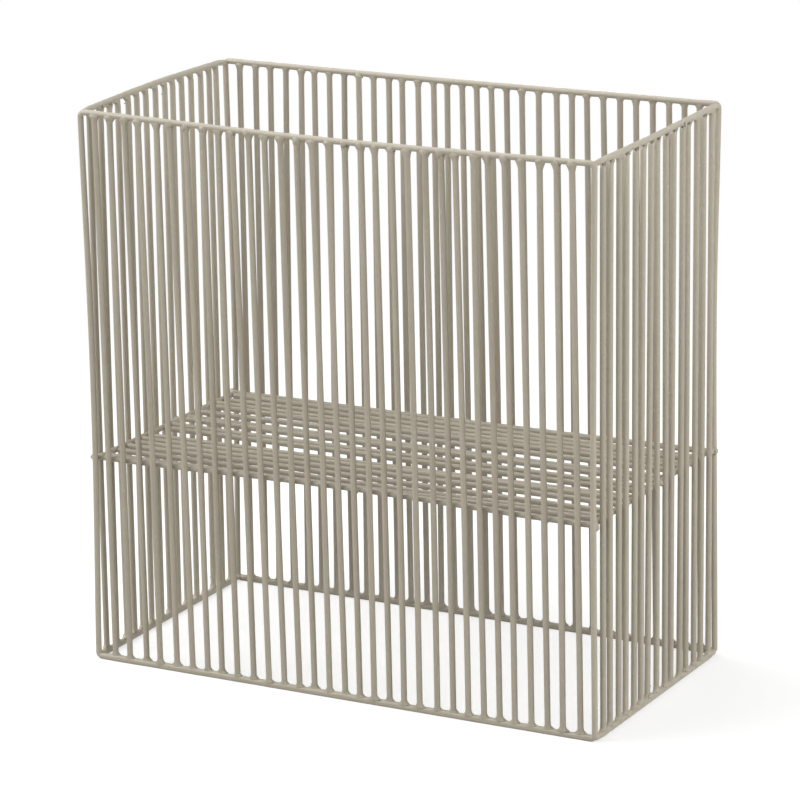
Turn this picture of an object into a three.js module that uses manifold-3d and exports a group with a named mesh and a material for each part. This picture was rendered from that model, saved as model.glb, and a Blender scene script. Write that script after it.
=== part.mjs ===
// Welded wire basket: an open box of upright wires with a wire shelf inside and no floor.
// Millimetres, +Z up, +Y to the back, origin on the ground under the middle of the basket.
import * as THREE from "three";
import { mergeVertices } from "three/addons/utils/BufferGeometryUtils.js";
import Module from "manifold-3d";

// Overall sizes, over the outside of the wires
const WIDTH = 495;
const DEPTH = 253;
const HEIGHT = 500;

// Wire diameters
const FRAME_WIRE = 5;
const UPRIGHT_WIRE = 5;
const SHELF_BAR = 5;
const SHELF_WIRE = 5;

// Inside radius of the bends at the corners of the two frames
const BEND_INSIDE = 1.5;

// Ground to the top of the shelf's wires
const SHELF_TOP = 190;

// Gaps between the shelf's wires, set unevenly by hand, from the back bar to the front bar at each end
const LEFT_GAPS = [9, 17, 13, 11, 22, 20, 6, 21, 13, 28, 11, 12, 13, 16, 18, 7];
const RIGHT_GAPS = [22, 6, 16, 10, 12, 23, 12, 21, 12, 18, 8, 15, 22, 15, 9, 16];

// Wires between the corner posts of a wall
const LONG_WALL_UPRIGHTS = 31;
const SHORT_WALL_UPRIGHTS = 15;

// Uprights that share one run of weld along the rails
const UPRIGHTS_PER_RUN = 3;

// Weld bead along a rail, and the fillet that it makes up the side of an upright
const WELD_BEAD = 1;
const WELD_FILLET = 2.5;

// Gap between pieces that touch
const CLEARANCE = 0.3;

// Facets: sides of a wire, and steps in an eighth of a turn of a bend or a fillet
const WIRE_SIDES = 8;
const BEND_STEPS = 2;
const FILLET_STEPS = 1;

// Corners closer than this are one when solids are joined
const SAME_POINT = 1e-4;

// Powder coat of the whole basket
const COAT = { color: 0xa39c8b, roughness: 0.6, metalness: 0 };

const frameRadius = FRAME_WIRE / 2;
const uprightRadius = UPRIGHT_WIRE / 2;
const barRadius = SHELF_BAR / 2;
const shelfRadius = SHELF_WIRE / 2;
const wallRadius = Math.max(frameRadius, uprightRadius);

// Middle planes of the walls, and middle heights of the rails and the shelf
const wallX = WIDTH / 2 - frameRadius;
const wallY = DEPTH / 2 - frameRadius;
const lowRailZ = frameRadius;
const highRailZ = HEIGHT - frameRadius;
const shelfZ = SHELF_TOP - shelfRadius;

// The uprights stand between the rails, and the shelf's bars lie against the inside of the walls
const uprightLength = HEIGHT - 2 * FRAME_WIRE - 2 * CLEARANCE;
const barX = wallX - wallRadius - CLEARANCE - barRadius;
const barY = wallY - wallRadius - CLEARANCE - barRadius;
const shelfWireEnd = barX - barRadius - CLEARANCE;
const longPitch = (2 * wallX) / (LONG_WALL_UPRIGHTS + 1);
const shortPitch = (2 * wallY) / (SHORT_WALL_UPRIGHTS + 1);

const wasm = await Module();
wasm.setup();

const basket = new THREE.Group();

function addPiece(name, geometry) {
  const mesh = new THREE.Mesh(geometry, new THREE.MeshStandardMaterial(COAT));
  mesh.name = name;
  basket.add(mesh);
  return mesh;
}

// Solid of a closed geometry, for joining
function solidOf(geometry) {
  const bare = geometry.clone();
  bare.deleteAttribute("normal");
  bare.deleteAttribute("uv");
  const merged = mergeVertices(bare, SAME_POINT);
  const vertProperties = merged.getAttribute("position").array;
  const triVerts = new Uint32Array(merged.index.array);
  return new wasm.Manifold(new wasm.Mesh({ numProp: 3, vertProperties, triVerts }));
}

function geometryOf(solid) {
  const { vertProperties, triVerts } = solid.getMesh();
  const geometry = new THREE.BufferGeometry();
  geometry.setAttribute("position", new THREE.BufferAttribute(vertProperties, 3));
  geometry.setIndex(new THREE.BufferAttribute(triVerts, 1));
  geometry.computeVertexNormals();
  return geometry;
}

// Half the side of the polygon that stands for a round wire
function halfFlat(radius) {
  return radius * Math.tan(Math.PI / WIRE_SIDES);
}

// Straight wire along Z about the origin, with flats that face X and Y
function straightWire(radius, length) {
  const corner = radius / Math.cos(Math.PI / WIRE_SIDES);
  const points = [];
  for (let side = 0; side < WIRE_SIDES; side += 1) {
    const angle = ((side + 0.5) * 2 * Math.PI) / WIRE_SIDES;
    points.push(new THREE.Vector2(corner * Math.cos(angle), corner * Math.sin(angle)));
  }
  const wire = new THREE.ExtrudeGeometry(new THREE.Shape(points), { depth: length, bevelEnabled: false });
  return wire.translate(0, 0, -length / 2);
}

function roundedRectangle(path, halfWidth, halfHeight, corner) {
  const quarter = Math.PI / 2;
  const x = halfWidth - corner;
  const y = halfHeight - corner;
  path.absarc(x, y, corner, 0, quarter);
  path.absarc(-x, y, corner, quarter, 2 * quarter);
  path.absarc(-x, -y, corner, 2 * quarter, 3 * quarter);
  path.absarc(x, -y, corner, 3 * quarter, 4 * quarter);
  path.closePath();
  return path;
}

// Frame of one long wall: a single wire bent into a closed rectangle, with its ends welded.
// Its section is an octagon, made by a flat ring whose edges are bevelled.
function bentFrame() {
  const flat = halfFlat(frameRadius);
  const bend = BEND_INSIDE + frameRadius;
  const halfHeight = HEIGHT / 2 - frameRadius;
  const ring = roundedRectangle(new THREE.Shape(), wallX + flat, halfHeight + flat, bend + flat);
  const inside = roundedRectangle(new THREE.Path(), wallX - flat, halfHeight - flat, bend - flat);
  ring.holes.push(inside);
  const frame = new THREE.ExtrudeGeometry(ring, {
    depth: 2 * flat,
    bevelThickness: frameRadius - flat,
    bevelSize: frameRadius - flat,
    bevelSegments: 1,
    curveSegments: BEND_STEPS,
  });
  frame.translate(0, 0, -flat);
  return frame.rotateX(Math.PI / 2);
}

// Weld under a run of uprights, along X with its foot at z = 0: a bead with a fillet at each wire
function weldRun(count, pitch) {
  const reach = uprightRadius + WELD_FILLET;
  const top = WELD_BEAD + WELD_FILLET;
  const half = ((count - 1) * pitch) / 2;
  const outline = new THREE.Shape();
  outline.moveTo(-half - reach, 0);
  outline.lineTo(half + reach, 0);
  for (let wire = count - 1; wire >= 0; wire -= 1) {
    const x = wire * pitch - half;
    outline.absarc(x + reach, top, WELD_FILLET, -Math.PI / 2, -Math.PI, true);
    outline.absarc(x - reach, top, WELD_FILLET, 0, -Math.PI / 2, true);
  }
  outline.closePath();
  const width = 2 * halfFlat(uprightRadius) - CLEARANCE;
  const weld = new THREE.ExtrudeGeometry(outline, {
    depth: width,
    bevelEnabled: false,
    curveSegments: FILLET_STEPS,
  });
  weld.translate(0, 0, -width / 2);
  return weld.rotateX(Math.PI / 2);
}

// Uprights that one run of weld holds at the bottom rail and another at the top rail
function uprightRun(count, pitch) {
  const foot = weldRun(count, pitch).translate(0, 0, -uprightLength / 2);
  const head = foot.clone().rotateX(Math.PI);
  let run = solidOf(foot).add(solidOf(head));
  for (let wire = 0; wire < count; wire += 1) {
    const x = (wire - (count - 1) / 2) * pitch;
    run = run.add(solidOf(straightWire(uprightRadius, uprightLength).translate(x, 0, 0)));
  }
  return geometryOf(run);
}

// Number of uprights in each run along a wall: full runs from both ends, what is left in the middle
function runsAlong(uprights) {
  const eachSide = Math.floor(uprights / (2 * UPRIGHTS_PER_RUN));
  const side = Array(eachSide).fill(UPRIGHTS_PER_RUN);
  const left = uprights - 2 * eachSide * UPRIGHTS_PER_RUN;
  const middle = left > UPRIGHTS_PER_RUN ? [Math.ceil(left / 2), Math.floor(left / 2)] : [left];
  return [...side, ...middle, ...side].filter((count) => count > 0);
}

// Fills one wall: place(run, along) puts a run's mesh at its distance along the wall
function addUprights(wall, uprights, pitch, place) {
  let first = 0;
  runsAlong(uprights).forEach((count, index) => {
    const along = (first + (count - 1) / 2 - (uprights - 1) / 2) * pitch;
    const number = String(index + 1).padStart(2, "0");
    place(addPiece(`${wall}_uprights_${number}`, uprightRun(count, pitch)), along);
    first += count;
  });
}

function addRail(name, x, z) {
  const length = 2 * (wallY - frameRadius - CLEARANCE);
  const rail = addPiece(name, straightWire(frameRadius, length));
  rail.rotation.x = Math.PI / 2;
  rail.position.set(x, 0, z);
}

function addShelfLongBar(name, y) {
  const bar = addPiece(name, straightWire(barRadius, 2 * wallX));
  bar.rotation.y = Math.PI / 2;
  bar.position.set(0, y, shelfZ);
}

function addShelfSideBar(name, x) {
  const length = 2 * (barY - barRadius - CLEARANCE);
  const bar = addPiece(name, straightWire(barRadius, length));
  bar.rotation.x = Math.PI / 2;
  bar.position.set(x, 0, shelfZ);
}

// Places of the shelf's wires at one end: the gaps one after another, stretched to the depth between the bars
function placesAlong(gaps) {
  const whole = gaps.reduce((sum, gap) => sum + gap);
  let passed = 0;
  return gaps.slice(0, -1).map((gap) => {
    passed += gap;
    return barY - (2 * barY * passed) / whole;
  });
}

// Shelf wire between the side bars, askew where its ends lie at different depths
function addShelfWire(name, leftY, rightY) {
  const skew = Math.atan2(rightY - leftY, 2 * shelfWireEnd);
  const wire = addPiece(name, straightWire(shelfRadius, 2 * shelfWireEnd));
  wire.rotation.set(0, Math.PI / 2, skew, "ZYX");
  wire.position.set(0, (leftY + rightY) / 2, shelfZ);
}

// Long walls: a bent frame each, filled with uprights
for (const [wall, y] of [["front", -wallY], ["back", wallY]]) {
  addPiece(`${wall}_frame`, bentFrame()).position.set(0, y, HEIGHT / 2);
  addUprights(wall, LONG_WALL_UPRIGHTS, longPitch, (run, along) => {
    run.position.set(along, y, HEIGHT / 2);
  });
}

// Short walls: a rail at the bottom and one at the top join the frames, with uprights between them
for (const [wall, x] of [["left", -wallX], ["right", wallX]]) {
  addRail(`${wall}_bottom_rail`, x, lowRailZ);
  addRail(`${wall}_top_rail`, x, highRailZ);
  addUprights(wall, SHORT_WALL_UPRIGHTS, shortPitch, (run, along) => {
    run.rotation.z = Math.PI / 2;
    run.position.set(x, along, HEIGHT / 2);
  });
}

// Shelf: a front and a back bar behind the posts, a side bar between them at each end, and wires across
addShelfLongBar("shelf_front_bar", -barY);
addShelfLongBar("shelf_back_bar", barY);
addShelfSideBar("shelf_left_bar", -barX);
addShelfSideBar("shelf_right_bar", barX);
const rightPlaces = placesAlong(RIGHT_GAPS);
placesAlong(LEFT_GAPS).forEach((leftY, index) => {
  const number = String(index + 1).padStart(2, "0");
  addShelfWire(`shelf_wire_${number}`, leftY, rightPlaces[index]);
});

export default basket;
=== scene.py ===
import math
import random
from collections import namedtuple
from contextlib import contextmanager

import bmesh
import bpy
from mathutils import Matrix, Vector


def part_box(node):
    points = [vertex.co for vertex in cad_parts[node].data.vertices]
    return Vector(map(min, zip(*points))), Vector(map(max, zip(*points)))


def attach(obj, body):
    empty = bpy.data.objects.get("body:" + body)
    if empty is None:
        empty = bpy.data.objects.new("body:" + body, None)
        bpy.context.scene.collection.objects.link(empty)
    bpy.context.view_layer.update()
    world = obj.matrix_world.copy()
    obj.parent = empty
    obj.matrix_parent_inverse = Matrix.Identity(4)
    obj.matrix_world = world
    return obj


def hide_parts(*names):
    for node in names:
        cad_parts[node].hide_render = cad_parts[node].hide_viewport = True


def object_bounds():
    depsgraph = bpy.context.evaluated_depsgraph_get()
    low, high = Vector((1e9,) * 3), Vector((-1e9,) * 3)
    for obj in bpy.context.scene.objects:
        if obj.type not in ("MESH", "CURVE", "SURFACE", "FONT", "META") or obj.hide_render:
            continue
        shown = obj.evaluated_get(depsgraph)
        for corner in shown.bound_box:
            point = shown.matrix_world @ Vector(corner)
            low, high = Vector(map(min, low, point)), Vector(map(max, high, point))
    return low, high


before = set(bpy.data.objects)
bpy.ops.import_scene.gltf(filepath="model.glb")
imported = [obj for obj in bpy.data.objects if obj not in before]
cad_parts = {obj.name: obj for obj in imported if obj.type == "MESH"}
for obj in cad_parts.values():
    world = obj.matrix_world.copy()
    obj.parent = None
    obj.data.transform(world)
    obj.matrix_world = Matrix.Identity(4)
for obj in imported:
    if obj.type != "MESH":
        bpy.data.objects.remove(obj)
CAD_LOW, CAD_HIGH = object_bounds()
CAD_MIDDLE = (CAD_LOW + CAD_HIGH) / 2

MM = 0.001
QUARTER = math.pi / 2


def middle(node):
    low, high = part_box(node)
    return (low + high) / 2


def half_size(node):
    low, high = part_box(node)
    return (high - low) / 2


# Wire radii and the middle lines of walls, rails and shelf, from the frame
WIRE = half_size("front_frame").y
BAR = half_size("shelf_front_bar").z
SHELF_WIRE = half_size("shelf_wire_01").z
WALL_X = CAD_HIGH.x - WIRE
WALL_Y = CAD_HIGH.y - WIRE
LOW_RAIL = CAD_LOW.z + WIRE
TOP_RAIL = CAD_HIGH.z - WIRE
MID_HEIGHT = (LOW_RAIL + TOP_RAIL) / 2
HALF_HEIGHT = (TOP_RAIL - LOW_RAIL) / 2
SHELF_Z = middle("shelf_front_bar").z
SHELF_SHARE = (SHELF_Z - LOW_RAIL) / (TOP_RAIL - LOW_RAIL)
BAR_X = middle("shelf_right_bar").x
BAR_Y = middle("shelf_back_bar").y

# The coat makes every wire a little thicker than its steel
COAT_BUILD = 0.13 * MM

# Wires in a run of weld, the distance from wire to wire along a wall, and the runs of a wall
WIRES_IN_RUN = 3
LONG_PITCH = (middle("front_uprights_02").x - middle("front_uprights_01").x) / WIRES_IN_RUN
SHORT_PITCH = (middle("left_uprights_02").y - middle("left_uprights_01").y) / WIRES_IN_RUN
LONG_RUNS = 11
SHORT_RUNS = 5

# Radius of the middle line of a bend at a corner of a frame, and the steps in it
BEND = 4 * MM
BEND_STEPS = 8

# Sides of a wire and of a shelf wire, and the cuts along a frame's straight stretches
WIRE_SIDES = 16
SHELF_SIDES = 12
FRAME_CUTS = 240

# Points closer than this are one
TOUCH = 0.02 * MM

# How far the basket was made out of true: uprights slip along the rails at the head and the foot, and
# stand a little in or out
HEAD_SLIP = 0.8 * MM
FOOT_SLIP = 0.6 * MM
DEPTH_SLIP = 0.35 * MM
MOST_SLIP = 1.6 * MM

# How far the long walls' uprights drifted to the right as they were set, at the feet and at the heads:
# millimetres, in equal steps from the left post to the right post
FRONT_FEET = (1, 4, 5.3, 6.3, 5.5, 3.3, 3.6, 1.5, 1.8)
FRONT_HEADS = (-0.8, -1.2, -1.2, -0.8, -1, -3.4, -2.8, -4.2, -4.4)
BACK_FEET = (0, -1.5, 0, 1.5, 2.2, 1, 2.5, 4, 1)
BACK_HEADS = (-0.5, 2.2, 1, 0, -2.5, -4, -1.5, -1.8, -1)
NO_DRIFT = (0, 0)

# The camera of the photograph: turn, height and roll in degrees, metres from the middle of the basket,
# lens and sensor in millimetres, and how far it stands to the right and up
VIEW_TURN = 28.17
VIEW_HEIGHT = 15.82
VIEW_ROLL = -0.79
VIEW_DISTANCE = 3.698
VIEW_LENS = 189.96
VIEW_SENSOR = 36
VIEW_RIGHT = -2.3 * MM
VIEW_UP = -12.0 * MM

# Chance for the whole basket, and apart from it for the painted shade of the pits
chance = random.Random(31)
painted_pit_chance = random.Random(7)


def vary(low, high, source=chance):
    """A random length between two lengths in millimetres."""
    return source.uniform(low, high) * MM


def slip(spread):
    return max(-MOST_SLIP, min(MOST_SLIP, chance.gauss(0, spread)))


def between(ends, share):
    """The value at a share of the way from one end to the other."""
    return ends[0] + (ends[1] - ends[0]) * share


# Work at the bench: picking points, editing, copying and joining
def clear_selection():
    bpy.ops.object.select_all(action="DESELECT")


def take(pieces):
    """Selects these pieces alone, the first one active."""
    clear_selection()
    for piece in pieces:
        piece.select_set(True)
    bpy.context.view_layer.objects.active = pieces[0]


@contextmanager
def editing():
    bpy.ops.object.mode_set(mode="EDIT")
    yield
    bpy.ops.object.mode_set(mode="OBJECT")


def pick(test):
    """In edit mode, selects the points whose place passes the test."""
    bpy.ops.mesh.select_mode(type="VERT")
    mesh = bmesh.from_edit_mesh(bpy.context.object.data)
    for point in mesh.verts:
        point.select = test(point.co)
    mesh.select_flush_mode()
    bmesh.update_edit_mesh(bpy.context.object.data)


def pick_long_edges(length):
    bpy.ops.mesh.select_mode(type="EDGE")
    mesh = bmesh.from_edit_mesh(bpy.context.object.data)
    for edge in mesh.edges:
        edge.select = edge.calc_length() > length
    mesh.select_flush_mode()
    bmesh.update_edit_mesh(bpy.context.object.data)


def settle():
    """Puts the selected pieces' place, turn and size into their meshes."""
    bpy.ops.object.transform_apply(location=True, rotation=True, scale=True)


def copy_of(master, name):
    piece = master.copy()
    piece.data = master.data.copy()
    piece.name = name
    bpy.context.scene.collection.objects.link(piece)
    return piece


def placed(master, name, location, turn, size=(1, 1, 1)):
    piece = copy_of(master, name)
    piece.location = location
    piece.rotation_euler = turn
    piece.scale = size
    take([piece])
    settle()
    return piece


def joined(pieces, name):
    take(pieces)
    if len(pieces) > 1:
        bpy.ops.object.join()
    piece = bpy.context.object
    piece.name = name
    return piece


def scrap(masters):
    for master in masters:
        bpy.data.objects.remove(master)


# A wire drawn upwards ring by ring. A ring gives its height, how far metal reaches past the wire on its
# left and right, its thickness from front to back, its girth, and how far the wire has wandered to the
# right.
Ring = namedtuple("Ring", "z left right depth girth bow", defaults=(0, 0, 1, 1, 0))

# Metal that reaches sideways thins out towards its edge: at this reach it is half as thick as the wire
PINCH = 12 * MM


def pinch(reach):
    return 1 / (1 + reach / PINCH)


def shape_tip(old, new):
    """Brings the wire's last ring from its old form to the new one, and leaves it selected."""
    centre = (new.bow, 0, new.z)

    def at_tip(co):
        return abs(co.z - new.z) < TOUCH

    if new.girth != old.girth:
        pick(at_tip)
        grow = new.girth / old.girth
        bpy.ops.transform.resize(value=(grow, grow, 1), center_override=centre)
    for side, was, now in ((-1, old.left, new.left), (1, old.right, new.right)):
        thin = new.depth * pinch(now) / (old.depth * pinch(was))
        if was != now or thin != 1:
            pick(lambda co: at_tip(co) and side * (co.x - new.bow) > TOUCH)
            bpy.ops.transform.translate(value=(side * (now - was), 0, 0))
            bpy.ops.transform.resize(value=(1, thin, 1), center_override=centre)
    if new.depth != old.depth:
        pick(lambda co: at_tip(co) and abs(co.x - new.bow) <= TOUCH)
        bpy.ops.transform.resize(value=(1, new.depth / old.depth, 1), center_override=centre)
    pick(at_tip)


def draw_wire(name, radius, rings, sides):
    clear_selection()
    first = rings[0]
    plain = Ring(first.z, bow=first.bow)
    bpy.ops.mesh.primitive_circle_add(
        vertices=sides, radius=radius + COAT_BUILD, fill_type="NGON", location=(first.bow, 0, first.z)
    )
    settle()
    wire = bpy.context.object
    wire.name = name
    with editing():
        shape_tip(plain, first)
        for old, new in zip(rings, rings[1:]):
            step = (new.bow - old.bow, 0, new.z - old.z)
            bpy.ops.mesh.extrude_region_move(TRANSFORM_OT_translate={"value": step})
            shape_tip(old, new)
        bpy.ops.mesh.select_all(action="SELECT")
        bpy.ops.mesh.normals_make_consistent(inside=False)
    return wire


# A weld where an upright meets a rail: height of the bead on the rail, how far the bead runs along it on
# the left and right, reach of the flare on the left and right, how far the flare climbs, how hollow it is
# (1 for a straight web, 3 for a round fillet), how much the wire swells, and how fast that eases off up
# the flare
Weld = namedtuple("Weld", "bead bed_left bed_right left right climb hollow swell ease")

# Shares of a flare's climb at which it has a ring
FLARE_STEPS = (0, 0.08, 0.2, 0.36, 0.6, 1)

# The lower and the upper ring sunk in the rail: heights in wire radii, and thickness against the wire's.
# The lower one is narrowed as much as it is thinned. A third ring lies a lip below the bead's crest.
SUNK_HEIGHTS = (-0.5, 0.35)
SUNK_DEPTHS = (0.6, 0.9)
LIP = 0.3 * MM

# Steps in an upright between its welds, and how far it may bow to a side, in millimetres
UPRIGHT_STEPS = 14
UPRIGHT_BOW = (-0.8, 0.8)


def weld_rings(weld):
    """Rings from inside the rail to the bare wire, their heights measured from the rail's middle line."""
    crest = WIRE + weld.bead
    low, high = SUNK_HEIGHTS
    thin, thick = SUNK_DEPTHS
    rings = [
        Ring(low * WIRE, thin * weld.bed_left, thin * weld.bed_right, thin),
        Ring(high * WIRE, weld.bed_left, weld.bed_right, thick),
        Ring(crest - LIP, weld.bed_left, weld.bed_right, weld.swell),
    ]
    for share in FLARE_STEPS:
        spread = (1 - share) ** weld.hollow
        swell = 1 + (weld.swell - 1) * spread**weld.ease
        rings.append(Ring(crest + share * weld.climb, weld.left * spread, weld.right * spread, swell))
    return rings


def upright_master(name, foot, head, bow):
    """An upright about the middle of its height, with a weld at each end and a slight bow between."""
    below = [ring._replace(z=ring.z - HALF_HEIGHT) for ring in weld_rings(foot)]
    above = [ring._replace(z=HALF_HEIGHT - ring.z) for ring in reversed(weld_rings(head))]
    ends = below[-1].z, above[0].z
    shaft = []
    for step in range(1, UPRIGHT_STEPS):
        share = step / UPRIGHT_STEPS
        shaft.append(Ring(between(ends, share), bow=bow * math.sin(math.pi * share)))
    return draw_wire(name, WIRE, below + shaft + above, WIRE_SIDES)


def foot_weld():
    """Each foot stands on the bead along the bottom rail, in round fillets."""
    return Weld(
        bead=vary(0.6, 1.0),
        bed_left=0.5 * MM,
        bed_right=0.5 * MM,
        left=vary(2.0, 3.6),
        right=vary(2.0, 3.6),
        climb=vary(2.6, 4.8),
        hollow=2.6,
        swell=chance.uniform(1.0, 1.05),
        ease=1,
    )


def front_head_weld():
    """Under the front top rail each upright widens to a web, mostly on its left."""
    return Weld(
        bead=-0.2 * MM,
        bed_left=vary(2.2, 3.2),
        bed_right=vary(1.0, 2.2),
        left=vary(2.2, 3.8),
        right=vary(0.5, 2.4),
        climb=vary(4.5, 7.5),
        hollow=chance.uniform(1.3, 2.2),
        swell=chance.uniform(1.04, 1.14),
        ease=0.6,
    )


def side_head_weld():
    """Under the side top rails a web fills the corner on one side, and the other side is eaten into."""
    return Weld(
        bead=vary(0.6, 1.4),
        bed_left=vary(-2.2, -1.6),
        bed_right=vary(3.0, 5.5),
        left=vary(-2.2, -1.4),
        right=vary(2.2, 3.8),
        climb=vary(3.5, 6),
        hollow=2,
        swell=chance.uniform(1.0, 1.08),
        ease=1,
    )


def back_head_weld():
    """Under the back top rail the flares are small, often on one side alone."""
    return Weld(
        bead=-0.2 * MM,
        bed_left=vary(0.8, 1.6),
        bed_right=vary(0.8, 1.6),
        left=vary(0.3, 2.8),
        right=vary(0.3, 2.8),
        climb=vary(3, 6),
        hollow=chance.uniform(1.5, 2.5),
        swell=chance.uniform(1.0, 1.1),
        ease=1,
    )


# A wall: its uprights in runs, their pitch, half its length, its turn about Z, 1 or -1 for the side that
# is outside, and the drift of its uprights' feet and heads
Wall = namedtuple("Wall", "name runs pitch half turn outside feet heads")
WALLS = (
    Wall("front", LONG_RUNS, LONG_PITCH, WALL_X, 0, 1, FRONT_FEET, FRONT_HEADS),
    Wall("back", LONG_RUNS, LONG_PITCH, WALL_X, 0, -1, BACK_FEET, BACK_HEADS),
    Wall("left", SHORT_RUNS, SHORT_PITCH, WALL_Y, QUARTER, -1, NO_DRIFT, NO_DRIFT),
    Wall("right", SHORT_RUNS, SHORT_PITCH, WALL_Y, QUARTER, 1, NO_DRIFT, NO_DRIFT),
)

# How the walls were welded: the weld at the uprights' heads, the share of uprights set the other way
# round, how far the puddles of weld lie to the right of the heads, and for heads and feet the share with
# a puddle and how far these stand proud; in millimetres
Welding = namedtuple("Welding", "head turned aside head_share head_proud foot_share foot_proud")
WELDING = {
    "front": Welding(front_head_weld, 0.2, (-1.5, 0.8), 0.9, (0.8, 2.0), 0, (0, 0)),
    "back": Welding(back_head_weld, 0.5, (-1, 1), 0.5, (0.2, 0.7), 0.4, (0.1, 0.4)),
    "left": Welding(side_head_weld, 0.9, (-4, -2.6), 0.9, (0, 0.3), 0.9, (0.6, 1.4)),
    "right": Welding(side_head_weld, 0.1, (2.6, 4), 0.9, (0, 0.3), 0.9, (0.6, 1.4)),
}

# Uprights modelled for a wall, to be copied along it
UPRIGHT_KINDS = 5


def along_wall(wall):
    return Vector((math.cos(wall.turn), math.sin(wall.turn), 0))


def out_of_wall(wall):
    return Vector((math.sin(wall.turn), -math.cos(wall.turn), 0)) * wall.outside


def drift(steps, share):
    """How far uprights drifted at a share of the way along a wall."""
    place = share * (len(steps) - 1)
    step = min(int(place), len(steps) - 2)
    return between(steps[step:], place - step) * MM


def set_upright(master, wall, head, foot):
    """One upright from foot to head, a little in or out of the wall, with either side to the front."""
    lean = math.atan2((head - foot).dot(along_wall(wall)), 2 * HALF_HEIGHT)
    location = (head + foot) / 2 + out_of_wall(wall) * slip(DEPTH_SLIP)
    tip = math.atan2(slip(DEPTH_SLIP), HALF_HEIGHT)
    if chance.random() < WELDING[wall.name].turned:
        turn = (tip, -lean, wall.turn + math.pi)
    else:
        turn = (tip, lean, wall.turn)
    return tone_and_painted_shade(placed(master, "upright", location, turn), WIRE_SHADE)


# Lumps of weld, modelled as a few kinds
LUMP_KINDS = 4

# A puddle of weld: half its width, depth and height in millimetres, and how far it may tilt
PUDDLE_WIDTH = (3.4, 4.8)
PUDDLE_DEPTH = (2.0, 2.8)
PUDDLE_HEIGHT = (2.8, 4.2)
PUDDLE_TILT = math.radians(25)

# How a puddle narrows towards its tip: below a height, to a share of its width
PUDDLE_TAPER = ((0.4, 0.8), (0.1, 0.75), (-0.3, 0.65))

# How far puddles lie below the top rail's middle line, and above the bottom rail's
HEAD_DROP = (1.4, 2.8)
FOOT_RISE = (2.4, 4.2)


def lump_masters(name, fineness, source):
    """Lumps one unit in radius, knocked out of round."""
    clear_selection()
    bpy.ops.mesh.primitive_ico_sphere_add(subdivisions=fineness, radius=1)
    lump = bpy.context.object
    roughen(lump, KNOCKS, KNOCK_DEPTH)
    masters = []
    for kind in range(LUMP_KINDS):
        turn = [source.uniform(0, 2 * math.pi) for axis in range(3)]
        masters.append(placed(lump, f"{name}_{kind}", (0, 0, 0), turn))
    scrap([lump])
    return masters


def puddle_masters():
    """Lumps that ran down to a tip."""
    masters = []
    for kind, lump in enumerate(LUMPS):
        puddle = copy_of(lump, f"puddle_kind_{kind}")
        take([puddle])
        with editing():
            for level, share in PUDDLE_TAPER:
                pick(lambda co: co.z < level)
                bpy.ops.transform.resize(value=(share, 1, 1), center_override=(0, 0, 0))
        masters.append(puddle)
    return masters


def set_lump(kinds, place, size, turn):
    return tone_and_painted_shade(placed(chance.choice(kinds), "lump", place, turn, size), RAIL_SHADE)


def set_puddle(wall, place, proud, tip):
    """A puddle of weld on the outside of a joint, standing proud of the wires by so many millimetres.
    Its tip is at the bottom (0) or turned over to the top (half a turn)."""
    size = (vary(*PUDDLE_WIDTH), vary(*PUDDLE_DEPTH), vary(*PUDDLE_HEIGHT))
    out = WIRE + vary(*proud) - size[1]
    tilt = chance.uniform(-PUDDLE_TILT, PUDDLE_TILT)
    return set_lump(PUDDLES, place + out_of_wall(wall) * out, size, (0, tip + tilt, wall.turn))


# Spatter of weld on the outside of the uprights, below their heads and above their feet: the share of
# joints that have some, half its size and its reach in millimetres, and its turn round the wire
SPATTER_SHARE = 0.5
SPATTER_SIZE = (0.35, 0.7)
SPATTER_REACH = (3.5, 14)
SPATTER_TURN = (-1, 1)


def set_spatter(wall, place, up):
    """A drop of weld on the outside of an upright, above (1) or below (-1) its weld."""
    size = vary(*SPATTER_SIZE)
    round_wire = chance.uniform(*SPATTER_TURN)
    out = out_of_wall(wall) * WIRE * math.cos(round_wire)
    aside = along_wall(wall) * WIRE * math.sin(round_wire)
    reach = Vector((0, 0, up * vary(*SPATTER_REACH)))
    return set_lump(SPECKS, place + out + aside + reach, (size, size, size), (0, 0, 0))


# Painted shade of the pits beside the welds at heads and feet: dark lumps set where the notch lies in
# shadow. The share of joints with one, how far it lies to the right of the upright, out of the wall and
# away from the rail's middle line, and half its size; in millimetres
PaintedPits = namedtuple("PaintedPits", "share aside out away size")
NO_PAINTED_PITS = PaintedPits(0, (0, 0), (0, 0), (0, 0), (0, 0))
HEAD_PAINTED_PITS = {
    "front": PaintedPits(0.6, (2.2, 3.2), (0.8, 1.3), (3.0, 3.8), (0.9, 1.3)),
    "back": PaintedPits(0.3, (1.6, 2.6), (0.8, 1.3), (3.0, 3.8), (0.9, 1.3)),
    "left": PaintedPits(0.9, (0.9, 1.5), (0.8, 1.3), (3.0, 3.8), (0.9, 1.3)),
    "right": PaintedPits(0.9, (-1.5, -0.9), (0.8, 1.3), (3.0, 3.8), (0.9, 1.3)),
}
FOOT_PAINTED_PITS = {
    "front": NO_PAINTED_PITS,
    "back": NO_PAINTED_PITS,
    "left": PaintedPits(0.35, (3.0, 4.4), (1.4, 2.0), (2.6, 3.4), (0.7, 1.1)),
    "right": PaintedPits(0.35, (-4.4, -3.0), (1.4, 2.0), (2.6, 3.4), (0.7, 1.1)),
}


def set_painted_pit_shade(wall, joint, up, painted_pits):
    """A dark lump of painted shade beside the weld above (1) or below (-1) a rail, for the shadow in the
    pit there.
    """
    size = [vary(*painted_pits.size, painted_pit_chance) for axis in range(3)]
    aside = along_wall(wall) * vary(*painted_pits.aside, painted_pit_chance)
    out = out_of_wall(wall) * vary(*painted_pits.out, painted_pit_chance)
    away = Vector((0, 0, up * vary(*painted_pits.away, painted_pit_chance)))
    pit = placed(painted_pit_chance.choice(SPECKS), "pit", joint + aside + out + away, (0, 0, 0), size)
    return tone_and_painted_shade(pit, PIT_PAINTED_SHADE, painted_pit_chance)


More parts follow.
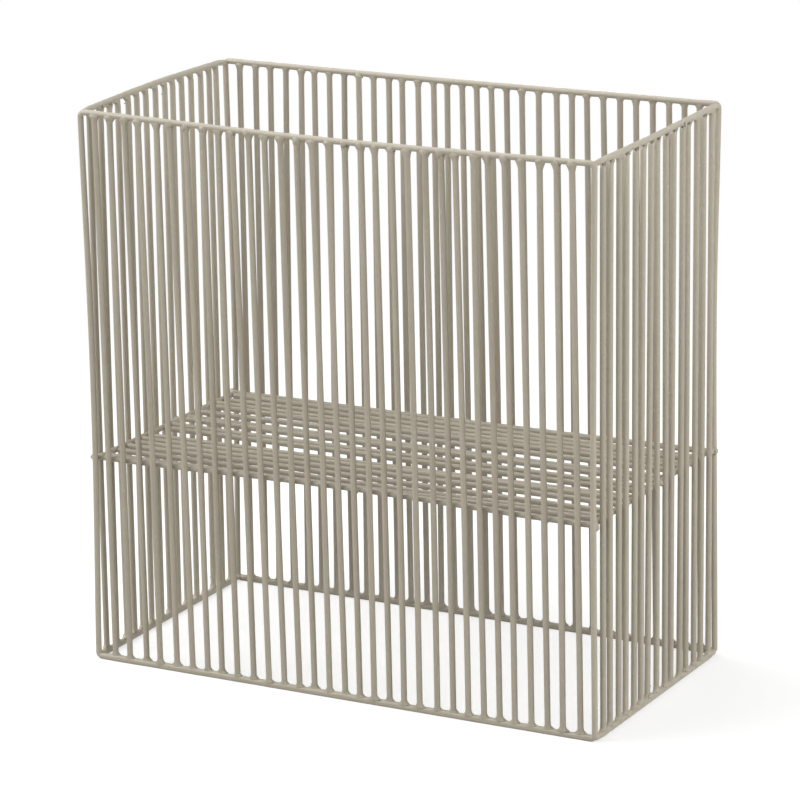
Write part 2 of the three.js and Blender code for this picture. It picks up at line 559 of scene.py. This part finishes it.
def weld_upright(wall, head, foot):
    """The puddles of weld at an upright's head and foot, what spattered from them, and the painted shade
    of their pits.
    """
    welding = WELDING[wall.name]
    parts = []
    if chance.random() < welding.head_share:
        drop = Vector((0, 0, vary(*HEAD_DROP)))
        place = head + along_wall(wall) * vary(*welding.aside) - drop
        parts.append(set_puddle(wall, place, welding.head_proud, 0))
    if chance.random() < welding.foot_share:
        rise = Vector((0, 0, vary(*FOOT_RISE)))
        parts.append(set_puddle(wall, foot + rise, welding.foot_proud, math.pi))
    for joint, up, painted_pits in ((head, -1, HEAD_PAINTED_PITS[wall.name]), (foot, 1, FOOT_PAINTED_PITS[wall.name])):
        if chance.random() < SPATTER_SHARE:
            parts.append(set_spatter(wall, joint, up))
        if painted_pit_chance.random() < painted_pits.share:
            parts.append(set_painted_pit_shade(wall, joint, up, painted_pits))
    return parts


def fill_wall(wall):
    """All uprights of one wall with their welds, modelled as a few kinds and copied into their runs.
    Gives the middle of each upright at the height of the shelf."""
    masters = []
    for kind in range(UPRIGHT_KINDS):
        name = f"{wall.name}_kind_{kind}"
        welds = foot_weld(), WELDING[wall.name].head()
        masters.append(upright_master(name, *welds, vary(*UPRIGHT_BOW)))
    along = along_wall(wall)
    stands = []
    for run in range(1, wall.runs + 1):
        node = f"{wall.name}_uprights_{run:02d}"
        count = round(2 * abs(half_size(node).dot(along)) / wall.pitch)
        parts = []
        for wire in range(count):
            place = middle(node) + along * wall.pitch * (wire - (count - 1) / 2)
            share = (place.dot(along) + wall.half) / (2 * wall.half)
            head = place + along * (drift(wall.heads, share) + slip(HEAD_SLIP))
            foot = place + along * (drift(wall.feet, share) + slip(FOOT_SLIP))
            head.z, foot.z = TOP_RAIL, LOW_RAIL
            stands.append(foot.lerp(head, SHELF_SHARE))
            parts.append(set_upright(chance.choice(masters), wall, head, foot))
            parts.extend(weld_upright(wall, head, foot))
        finish_piece(joined(parts, f"{wall.name}_upright_wires_{run:02d}"), node, [RIM_CAGE])
    scrap(masters)
    return stands


# Frames, rails and the shelf
def bent_frame(name):
    """One wire bent into a closed rectangle about the origin, in the plane of a long wall."""
    clear_selection()
    across = WALL_X - BEND
    up = HALF_HEIGHT - BEND
    bpy.ops.mesh.primitive_circle_add(
        vertices=WIRE_SIDES,
        radius=WIRE + COAT_BUILD,
        fill_type="NOTHING",
        location=(-across, 0, -HALF_HEIGHT),
        rotation=(0, QUARTER, 0),
    )
    settle()
    wire = bpy.context.object
    wire.name = name
    strokes = (
        ((2 * across, 0, 0), (across, 0, -up)),
        ((0, 0, 2 * up), (across, 0, up)),
        ((-2 * across, 0, 0), (-across, 0, up)),
        ((0, 0, -2 * up), (-across, 0, -up)),
    )
    with editing():
        bpy.ops.mesh.select_all(action="SELECT")
        for stretch, centre in strokes:
            bpy.ops.mesh.extrude_edges_move(TRANSFORM_OT_translate={"value": stretch})
            bpy.ops.mesh.spin(
                steps=BEND_STEPS, angle=QUARTER, center=centre, axis=(0, 1, 0), dupli=False
            )
        bpy.ops.mesh.select_all(action="SELECT")
        bpy.ops.mesh.remove_doubles(threshold=TOUCH)
        bpy.ops.mesh.normals_make_consistent(inside=False)
        pick_long_edges(across)
        bpy.ops.mesh.subdivide(number_cuts=FRAME_CUTS)
    return wire


# A blunt end of a cut wire: shares of the radius, along the wire and across it
BLUNT_END = ((0, 0.45), (0.2, 0.78), (0.55, 0.95), (1.1, 1))


def straight_wire(name, radius, half_length, step, bow, sides):
    """A wire with blunt ends about the origin, along Z, that wanders by bow(share of its length)."""
    rings = []
    for along, girth in BLUNT_END:
        rings.append(Ring(along * radius - half_length, girth=girth, bow=bow(0)))
    reach = half_length - BLUNT_END[-1][0] * radius
    count = max(2, round(2 * reach / step))
    for number in range(1, count):
        share = number / count
        rings.append(Ring(reach * (2 * share - 1), bow=bow(share)))
    for along, girth in reversed(BLUNT_END):
        rings.append(Ring(half_length - along * radius, girth=girth, bow=bow(1)))
    return draw_wire(name, radius, rings, sides)


# The bead of weld along a bottom rail: a wavering strip that lies on the rail and makes its face flat.
# It is the sum of a few waves, whose rates are in radians over its length.
STRIP = 0.99 * WIRE
STRIP_RISE = 0.9 * MM
STRIP_SHORT = 1 * MM
STRIP_STEP = 4 * MM
STRIP_WAVES = 4
STRIP_RATES = (20, 120)
STRIP_WAVER = 0.16 * MM


def set_strip(half, place, turn):
    """The bead along one bottom rail, whose middle is at this place."""
    waves = []
    for wave in range(STRIP_WAVES):
        waves.append((chance.uniform(*STRIP_RATES), chance.uniform(0, 2 * math.pi)))

    def waver(share):
        return STRIP_WAVER * sum(math.sin(rate * share + start) for rate, start in waves)

    strip = straight_wire("strip_kind", STRIP, half - STRIP_SHORT, STRIP_STEP, waver, WIRE_SIDES)
    piece = placed(strip, "strip", place + Vector((0, 0, STRIP_RISE)), turn)
    scrap([strip])
    return tone_and_painted_shade(piece, RAIL_SHADE)


def add_frames():
    master = bent_frame("frame_kind")
    for wall, y in (("front", -WALL_Y), ("back", WALL_Y)):
        parts = [tone_and_painted_shade(placed(master, "frame", (0, y, MID_HEIGHT), (0, 0, 0)), RAIL_SHADE)]
        parts.append(set_strip(WALL_X, Vector((0, y, LOW_RAIL)), (0, QUARTER, 0)))
        finish_piece(joined(parts, f"{wall}_frame_wire"), f"{wall}_frame", [WAIST_CAGE, RIM_CAGE])
    scrap([master])


# A side rail stops short of the frames' middle lines. A share of it at each end is tucked in behind their
# bends, inwards and towards mid-height at once, and a lump of weld holds it there.
RAIL_SHORT = 0.8 * MM
RAIL_TUCK = 1.5 * MM
RAIL_TUCKED = 0.1
RAIL_STEP = 2 * MM
CORNER_LUMP = (2.4 * MM, 2.0 * MM, 2.4 * MM)


def rail_tuck(share):
    """How far a side rail is tucked in, at a share of its length: only near its ends."""
    near_end = max(0, abs(2 * share - 1) - (1 - RAIL_TUCKED)) / RAIL_TUCKED
    return RAIL_TUCK * near_end**2


def add_side_rails():
    master = straight_wire("rail_kind", WIRE, WALL_Y - RAIL_SHORT, RAIL_STEP, rail_tuck, WIRE_SIDES)
    inward = RAIL_TUCK * math.sqrt(0.5)
    for wall, side in (("left", -1), ("right", 1)):
        for level, z, up in (("bottom", LOW_RAIL, -1), ("top", TOP_RAIL, 1)):
            turn = (-QUARTER, math.atan2(up, -side), 0)
            parts = [tone_and_painted_shade(placed(master, "rail", (side * WALL_X, 0, z), turn), RAIL_SHADE)]
            if level == "bottom":
                parts.append(set_strip(WALL_Y, Vector((side * WALL_X, 0, z)), (-QUARTER, QUARTER, 0)))
            for end in (-1, 1):
                place = (side * (WALL_X - inward), end * (WALL_Y - CORNER_LUMP[1]), z - up * inward)
                parts.append(set_lump(LUMPS, place, CORNER_LUMP, (0, 0, 0)))
            rail = joined(parts, f"{wall}_{level}_rail_wire")
            finish_piece(rail, f"{wall}_{level}_rail", [RIM_CAGE])
    scrap([master])


# The shelf's wires, the kinds modelled for them, how far a kind droops and sways in millimetres, and the
# step between rings along them and the bars
SHELF_WIRES = 15
SHELF_KINDS = 4
SHELF_DROOP = (-0.4, 0.6)
SHELF_SWAY = (-0.4, 0.4)
SHELF_STEP = 6 * MM

# How far the shelf's corners stand above or below its level: left and right, at the front and at the back
FRONT_CORNERS = (-0.7 * MM, 1.5 * MM)
BACK_CORNERS = (-2.6 * MM, 1.8 * MM)
FRONT_BAR_ARCH = 3.2 * MM
BACK_BAR_SAG = 0.9 * MM

# Uprights, counted from the left and from the front, to which the shelf's bars are tacked, and half the
# size of a tack in millimetres
FRONT_TACKS = (1, 6, 12, 17, 23, 29)
BACK_TACKS = (3, 8, 12, 16, 20, 25, 29)
SIDE_TACKS = (2, 6, 9, 13)
TACK_WIDTH = (2.8, 3.8)
TACK_DEPTH = (1.7, 2.3)
TACK_HEIGHT = (2.4, 3.6)


def shelf_rise(side, y):
    """Height of the shelf at its left (0) or right (1) side, above its level."""
    return between((FRONT_CORNERS[side], BACK_CORNERS[side]), (y + BAR_Y) / (2 * BAR_Y))


def wire_ends(node):
    """How far back the left and right ends of a shelf wire lie."""
    ends = []
    for side in (-1, 1):
        points = [point.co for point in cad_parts[node].data.vertices if point.co.x * side > 0]
        low = min(point.y for point in points)
        high = max(point.y for point in points)
        ends.append((low + high) / 2)
    return ends


def set_tack(place, turn):
    size = (vary(*TACK_WIDTH), vary(*TACK_DEPTH), vary(*TACK_HEIGHT))
    return set_lump(LUMPS, place, size, (0, 0, turn))


def front_bar_rise(share):
    """The front bar arches up in the middle."""
    return between(FRONT_CORNERS, share) + FRONT_BAR_ARCH * math.sin(math.pi * share) ** 2


def back_bar_rise(share):
    """The back bar climbs to the right and sags."""
    return between(BACK_CORNERS, share) - BACK_BAR_SAG * math.sin(math.pi * share)


def add_long_bar(wall, y, rise, tacks, stands):
    node = f"shelf_{wall}_bar"
    length = half_size(node).x
    bar = straight_wire("bar_kind", BAR, length, SHELF_STEP, lambda share: -rise(share), WIRE_SIDES)
    parts = [tone_and_painted_shade(placed(bar, "bar", (0, y, SHELF_Z), (0, QUARTER, 0)), RAIL_SHADE)]
    weld_y = math.copysign((BAR_Y + WALL_Y) / 2, y)
    for x in (-WALL_X, *(stands[tack - 1].x for tack in tacks), WALL_X):
        z = SHELF_Z + rise((x + WALL_X) / (2 * WALL_X))
        parts.append(set_tack(Vector((x, weld_y, z)), 0))
    finish_piece(joined(parts, f"shelf_{wall}_bar_wire"), node, [])
    scrap([bar])


def add_side_bar(wall, side, x, stands):
    node = f"shelf_{wall}_bar"
    length = half_size(node).y
    front, back = shelf_rise(side, -length), shelf_rise(side, length)
    climb = math.atan2(back - front, 2 * length)
    bar = straight_wire("bar_kind", BAR, length, SHELF_STEP, lambda share: 0, WIRE_SIDES)
    place = (x, 0, SHELF_Z + (front + back) / 2)
    parts = [tone_and_painted_shade(placed(bar, "bar", place, (climb - QUARTER, 0, 0)), RAIL_SHADE)]
    weld_x = math.copysign((BAR_X + WALL_X) / 2, x)
    for tack in SIDE_TACKS:
        y = stands[tack - 1].y
        parts.append(set_tack(Vector((weld_x, y, SHELF_Z + shelf_rise(side, y))), QUARTER))
    for y in (-length, length):
        parts.append(set_tack(Vector((x, y, SHELF_Z + shelf_rise(side, y))), QUARTER))
    finish_piece(joined(parts, f"shelf_{wall}_bar_wire"), node, [])
    scrap([bar])


def add_shelf_bars(stands):
    add_long_bar("front", -BAR_Y, front_bar_rise, FRONT_TACKS, stands["front"])
    add_long_bar("back", BAR_Y, back_bar_rise, BACK_TACKS, stands["back"])
    add_side_bar("left", 0, -BAR_X, stands["left"])
    add_side_bar("right", 1, BAR_X, stands["right"])


def add_shelf_wires():
    # Wire 8 lies nearly square to the sides, so its box shows its length
    length = half_size("shelf_wire_08").x
    masters = []
    for kind in range(SHELF_KINDS):
        droop, sway = vary(*SHELF_DROOP), vary(*SHELF_SWAY)

        def bow(share, droop=droop, sway=sway):
            return droop * math.sin(math.pi * share) + sway * math.sin(2 * math.pi * share)

        masters.append(
            straight_wire(f"shelf_kind_{kind}", SHELF_WIRE, length, SHELF_STEP, bow, SHELF_SIDES)
        )
    for number in range(1, SHELF_WIRES + 1):
        node = f"shelf_wire_{number:02d}"
        left, right = wire_ends(node)
        low, high = shelf_rise(0, left), shelf_rise(1, right)
        skew = math.atan2(right - left, 2 * length)
        climb = math.atan2(high - low, 2 * length)
        location = (0, (left + right) / 2, SHELF_Z + (low + high) / 2)
        master = masters[number % SHELF_KINDS]
        piece = placed(master, f"shelf_cross_wire_{number:02d}", location, (0, QUARTER - climb, skew))
        finish_piece(tone_and_painted_shade(piece, WIRE_SHADE), node, [])
    scrap(masters)


# Coat and finish
def cloud_texture(name, size):
    texture = bpy.data.textures.new(name, "CLOUDS")
    texture.noise_scale = size
    texture.noise_depth = 1
    return texture


# Unevenness of the coat, and of a lump of weld one unit in radius
WAVES = cloud_texture("coat_waves", 11 * MM)
WAVE_DEPTH = 0.5 * MM
BEADS = cloud_texture("coat_beads", 4 * MM)
BEAD_DEPTH = 0.5 * MM
KNOCKS = cloud_texture("weld_knocks", 0.6)
KNOCK_DEPTH = 0.6

# How far from a rail's middle line the coat is lumpy over the welds, and how lumpy it is at the bottom
# rails and on the shelf, against 1 at the top rails
WELD_ZONE = 16 * MM
LOW_WELDS = 0.45
SHELF_WELDS = 0.6


def roughen(piece, texture, depth, group=""):
    swell = piece.modifiers.new(texture.name, "DISPLACE")
    swell.texture = texture
    swell.texture_coords = "LOCAL"
    swell.strength = depth
    swell.vertex_group = group
    bpy.ops.object.modifier_apply(modifier=swell.name)


def mark_welds(piece, node):
    """Weighs the points near the rails, those at the bottom less, and all points of the shelf.
    There the coat is lumpy and shines more."""
    group = piece.vertex_groups.new(name="welds")
    for point in piece.data.vertices:
        low = LOW_WELDS * (1 - abs(point.co.z - LOW_RAIL) / WELD_ZONE)
        high = 1 - abs(point.co.z - TOP_RAIL) / WELD_ZONE
        near = SHELF_WELDS if node.startswith("shelf") else max(low, high)
        if near > 0:
            group.add([point.index], near, "REPLACE")
    return group.name


# Shades of the coat, from 0, dark, to 1, light: of the wires, and of frames, rails, bars and weld.
# Below 0 is painted shade, for the dark lumps that stand for the shadow in the pits.
WIRE_SHADE = (0.1, 1)
RAIL_SHADE = (0.8, 1)
PIT_PAINTED_SHADE = (-1, -0.6)


def tone_and_painted_shade(piece, shades, source=chance):
    """Gives one wire or lump its own shade of the coat; below 0 it is painted shade for a pit."""
    values = piece.data.attributes.new("tone_and_painted_shade", "FLOAT", "POINT")
    shade = source.uniform(*shades)
    values.data.foreach_set("value", [shade] * len(piece.data.vertices))
    return piece


# Points of a cage across the width, from front to back and up
CAGE_ACROSS = 3
CAGE_BACK = 3
CAGE_UP = 4

# Pulls of the finished basket, in millimetres, at points of a cage counted across, back and up: the posts
# are drawn in at the waist, and the rim sags and rises
WAIST_PULLS = {
    (0, 0, 1): (3.2, 0, 0),
    (0, 0, 2): (3.2, 0, 0),
    (0, 2, 1): (2.5, 0, 0),
    (0, 2, 2): (2.5, 0, 0),
    (2, 0, 1): (-1.2, 0, 0),
    (2, 0, 2): (-1.2, 0, 0),
    (2, 2, 1): (-1.8, 0, 0),
    (2, 2, 2): (-3.0, 0, 0),
}
RIM_PULLS = {(1, 0, 3): (0, 0, -3.0), (0, 1, 3): (0, 0, 2.2), (2, 2, 3): (0, 0, 1.8)}


def pull_cage(name, pulls):
    """A cage round the basket, pulled at some of its points."""
    clear_selection()
    bpy.ops.object.add(type="LATTICE", location=CAD_MIDDLE)
    cage = bpy.context.object
    cage.name = name
    size = CAD_HIGH - CAD_LOW
    cage.scale = size
    grid = cage.data
    grid.points_u, grid.points_v, grid.points_w = CAGE_ACROSS, CAGE_BACK, CAGE_UP
    grid.interpolation_type_u = grid.interpolation_type_v = grid.interpolation_type_w = "KEY_CARDINAL"
    for (across, back, up), pull in pulls.items():
        point = grid.points[across + CAGE_ACROSS * (back + CAGE_BACK * up)]
        for axis in range(3):
            point.co_deform[axis] += pull[axis] * MM / size[axis]
    return cage


class Field:
    """A value that changes over a surface: one output of a finish's nodes."""

    def __init__(self, finish, socket):
        self.finish = finish
        self.socket = socket

    def combine(self, operation, first, second):
        return self.finish.add("ShaderNodeMath", {"operation": operation}, {0: first, 1: second})

    def __add__(self, other):
        return self.combine("ADD", self, other)

    def __radd__(self, other):
        return self.combine("ADD", other, self)

    def __sub__(self, other):
        return self.combine("SUBTRACT", self, other)

    def __mul__(self, other):
        return self.combine("MULTIPLY", self, other)

    def __rmul__(self, other):
        return self.combine("MULTIPLY", other, self)


class Finish:
    """The nodes of one material, or of the world."""

    def __init__(self, tree):
        self.tree = tree
        self.tree.nodes.clear()

    def add(self, kind, settings=None, sockets=None, output=0):
        node = self.tree.nodes.new(kind)
        for name, value in (settings or {}).items():
            setattr(node, name, value)
        for name, value in (sockets or {}).items():
            if isinstance(value, Field):
                self.tree.links.new(value.socket, node.inputs[name])
            else:
                node.inputs[name].default_value = value
        return Field(self, node.outputs[output])

    def blend(self, share, first, second):
        """A colour between two colours: the node takes them at 6 and 7 and gives one at 2."""
        mix = {"data_type": "RGBA"}
        return self.add("ShaderNodeMix", mix, {0: share, 6: first, 7: second}, output=2)

    def noise(self, place, size, detail):
        sockets = {"Vector": place, "Scale": 1 / size, "Detail": detail}
        return self.add("ShaderNodeTexNoise", None, sockets)

    def ramp(self, value, low, high):
        """0 at low and before it, 1 at high and past it, straight between."""
        sockets = {"Value": value, "From Min": low, "From Max": high}
        return self.add("ShaderNodeMapRange", None, sockets)

    def close(self, kind, shader):
        node = self.tree.nodes.new(kind)
        self.tree.links.new(shader.socket, node.inputs["Surface"])


# The coat's colours: over most of a wire, where it is dark, in light specks, and the painted shade of the
# pits
GREIGE = (0.400, 0.362, 0.286, 1)
GREIGE_DARK = (0.345, 0.310, 0.240, 1)
GREIGE_LIGHT = (0.450, 0.412, 0.332, 1)
# Painted shade: the near-black colour of the lumps that stand for the shadow in the pits
GREIGE_PAINTED_SHADE = (0.140, 0.122, 0.090, 1)

# How clouds and a wire's own shade make up the colour, and where the light specks show
CLOUD_SIZE = 30 * MM
CLOUD_PART = 0.6
SHADE_PART = 0.4
SHADE_SPAN = (0.2, 0.7)
SPECK_SIZE = 3.2 * MM
SPECK_SPAN = (0.62, 0.78)
SPECK_PART = 0.5

# The coat's grain, and its roughness: what clouds and grain add to it and what welds take from it
GRAIN_SIZE = 1.6 * MM
GRAIN_DEPTH = 0.2 * MM
GRAIN_STRENGTH = 0.15
ROUGHNESS = 0.44
CLOUD_ROUGHNESS = 0.14
GRAIN_ROUGHNESS = 0.08
WELD_SHINE = 0.14
COAT_IOR = 1.5


def powder_coat():
    """Satin greige powder coat: softly mottled, each wire in its own shade, shinier over the welds."""
    material = bpy.data.materials.new("powder_coat")
    material.use_nodes = True
    coat = Finish(material.node_tree)
    place = coat.add("ShaderNodeTexCoord", None, None, output="Object")
    own_shade_and_painted_shade = coat.add("ShaderNodeAttribute", {"attribute_name": "tone_and_painted_shade"}, None, output="Fac")
    welds = coat.add("ShaderNodeAttribute", {"attribute_name": "welds"}, None, output="Fac")
    clouds = coat.noise(place, CLOUD_SIZE, 3)
    grain = coat.noise(place, GRAIN_SIZE, 2)
    specks = coat.noise(place, SPECK_SIZE, 1)
    shade = coat.ramp(clouds * CLOUD_PART + own_shade_and_painted_shade * SHADE_PART, *SHADE_SPAN)
    colour = coat.blend(shade, GREIGE_DARK, GREIGE)
    colour = coat.blend(coat.ramp(specks, *SPECK_SPAN) * SPECK_PART, colour, GREIGE_LIGHT)
    # Painted shade: where a piece's tone is below 0 the colour turns to the dark painted shade of the
    # pits
    colour = coat.blend(coat.ramp(own_shade_and_painted_shade, 0, -1), colour, GREIGE_PAINTED_SHADE)
    rough = ROUGHNESS + CLOUD_ROUGHNESS * clouds + GRAIN_ROUGHNESS * grain - WELD_SHINE * welds
    bump = coat.add(
        "ShaderNodeBump", None, {"Strength": GRAIN_STRENGTH, "Distance": GRAIN_DEPTH, "Height": grain}
    )
    shader = coat.add(
        "ShaderNodeBsdfPrincipled",
        None,
        {"Base Color": colour, "Roughness": rough, "Normal": bump, "IOR": COAT_IOR},
    )
    coat.close("ShaderNodeOutputMaterial", shader)
    return material


# Faces that meet at less than this are smoothed into each other
SMOOTH_BELOW = math.radians(50)


def finish_piece(piece, node, cages):
    """Coats one piece, pulls it with its cages, and lets it stand for its node."""
    take([piece])
    welds = mark_welds(piece, node)
    roughen(piece, WAVES, WAVE_DEPTH, welds)
    roughen(piece, BEADS, BEAD_DEPTH, welds)
    for cage in cages:
        pull = piece.modifiers.new("pull", "LATTICE")
        pull.object = cage
        bpy.ops.object.modifier_apply(modifier=pull.name)
    bpy.ops.object.shade_smooth_by_angle(angle=SMOOTH_BELOW)
    piece.data.materials.clear()
    piece.data.materials.append(COAT)
    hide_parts(node)
    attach(piece, "root")


# Stage: a white floor that glows a little under the basket and turns to plain white over these metres
# around it, faint light from all sides, and lamps
FLOOR_SIZE = 12
FLOOR_GLOW = 0.6
FLOOR_FADE = (0.5, 1.4)
FLOOR_GREY = (0.5, 0.5, 0.5, 1)
WHITE = (1, 1, 1, 1)
AMBIENT = 0.02

# A soft square lamp: its turn and height in degrees as the views count them, its size in metres, and its
# level. At level 1 it alone shows a face turned to it in its written colour.
Lamp = namedtuple("Lamp", "name turn height size level")
LAMPS = (
    Lamp("key", -52, 33, 2.6, 0.78),
    Lamp("front_fill", 38, 30, 2.6, 0.29),
    Lamp("right_fill", 84, 9, 2.2, 0.64),
    Lamp("back_fill", 154, 24, 2.6, 0.15),
    Lamp("top_light", -112, 62, 3.8, 0.75),
)
LAMP_DISTANCE = 4.5


def seen_by_camera(finish):
    """1 for what the camera sees straight, in a gloss or through glass, else 0."""
    camera = finish.add("ShaderNodeLightPath", None, None, output="Is Camera Ray")
    gloss = finish.add("ShaderNodeLightPath", None, None, output="Is Glossy Ray")
    through = finish.add("ShaderNodeLightPath", None, None, output="Is Transmission Ray")
    total = camera + gloss + through
    return finish.add("ShaderNodeMath", {"operation": "MINIMUM"}, {0: total, 1: 1.0})


def add_floor():
    clear_selection()
    bpy.ops.mesh.primitive_plane_add(size=FLOOR_SIZE)
    floor = bpy.context.object
    floor.name = "floor"
    material = bpy.data.materials.new("floor_white")
    material.use_nodes = True
    paint = Finish(material.node_tree)
    seen = seen_by_camera(paint)
    place = paint.add("ShaderNodeTexCoord", None, None, output="Object")
    away = paint.add("ShaderNodeVectorMath", {"operation": "LENGTH"}, {0: place}, output="Value")
    lit = paint.add("ShaderNodeBsdfDiffuse", None, {"Color": FLOOR_GREY})
    glow = paint.add("ShaderNodeEmission", None, {"Color": WHITE, "Strength": FLOOR_GLOW})
    near = paint.add("ShaderNodeAddShader", None, {0: lit, 1: glow})
    far = paint.add("ShaderNodeEmission", None, {"Color": WHITE, "Strength": 1})
    faded = paint.ramp(away, *FLOOR_FADE)
    bright = paint.add("ShaderNodeMixShader", None, {0: faded, 1: near, 2: far})
    shader = paint.add("ShaderNodeMixShader", None, {0: seen, 1: lit, 2: bright})
    paint.close("ShaderNodeOutputMaterial", shader)
    floor.data.materials.append(material)


def add_world():
    world = bpy.data.worlds.new("studio")
    world.use_nodes = True
    bpy.context.scene.world = world
    sky = Finish(world.node_tree)
    seen = seen_by_camera(sky)
    strength = AMBIENT + seen * (1 - AMBIENT)
    shader = sky.add("ShaderNodeBackground", None, {"Color": WHITE, "Strength": strength})
    sky.close("ShaderNodeOutputWorld", shader)


def toward(turn, height):
    """The direction from the basket to something at this turn and height, in degrees."""
    turn, height = math.radians(turn), math.radians(height)
    level = math.cos(height)
    return Vector((math.sin(turn) * level, -math.cos(turn) * level, math.sin(height)))


def add_lamps():
    for lamp in LAMPS:
        clear_selection()
        direction = toward(lamp.turn, lamp.height)
        place = Vector((0, 0, MID_HEIGHT)) + direction * LAMP_DISTANCE
        bpy.ops.object.light_add(type="AREA", location=place)
        light = bpy.context.object
        light.name = lamp.name
        light.visible_camera = False
        light.data.shape = "SQUARE"
        light.data.size = lamp.size
        light.data.energy = lamp.level * (math.pi * LAMP_DISTANCE) ** 2
        light.rotation_euler = direction.to_track_quat("Z", "Y").to_euler()


def add_camera():
    back = toward(VIEW_TURN, VIEW_HEIGHT)
    data = bpy.data.cameras.new("photo_camera")
    data.lens = VIEW_LENS
    data.sensor_width = VIEW_SENSOR
    camera = bpy.data.objects.new("photo_camera", data)
    bpy.context.scene.collection.objects.link(camera)
    camera.rotation_euler = back.to_track_quat("Z", "Y").to_euler()
    camera.rotation_euler.rotate_axis("Z", math.radians(VIEW_ROLL))
    axes = camera.rotation_euler.to_matrix()
    camera.location = CAD_MIDDLE + back * VIEW_DISTANCE
    camera.location += axes.col[0] * VIEW_RIGHT + axes.col[1] * VIEW_UP
    bpy.context.scene.camera = camera


# The coat, the cages and the lumps of weld that the pieces below are made with
COAT = powder_coat()
WAIST_CAGE = pull_cage("waist_cage", WAIST_PULLS)
RIM_CAGE = pull_cage("rim_cage", RIM_PULLS)
LUMPS = lump_masters("lump_kind", 3, chance)
SPECKS = lump_masters("speck_kind", 2, painted_pit_chance)
PUDDLES = puddle_masters()

add_camera()
add_frames()
add_side_rails()
add_shelf_bars({wall.name: fill_wall(wall) for wall in WALLS})
add_shelf_wires()
scrap([WAIST_CAGE, RIM_CAGE, *LUMPS, *SPECKS, *PUDDLES])
add_floor()
add_world()
add_lamps()
bpy.context.scene.view_settings.view_transform = "Standard"
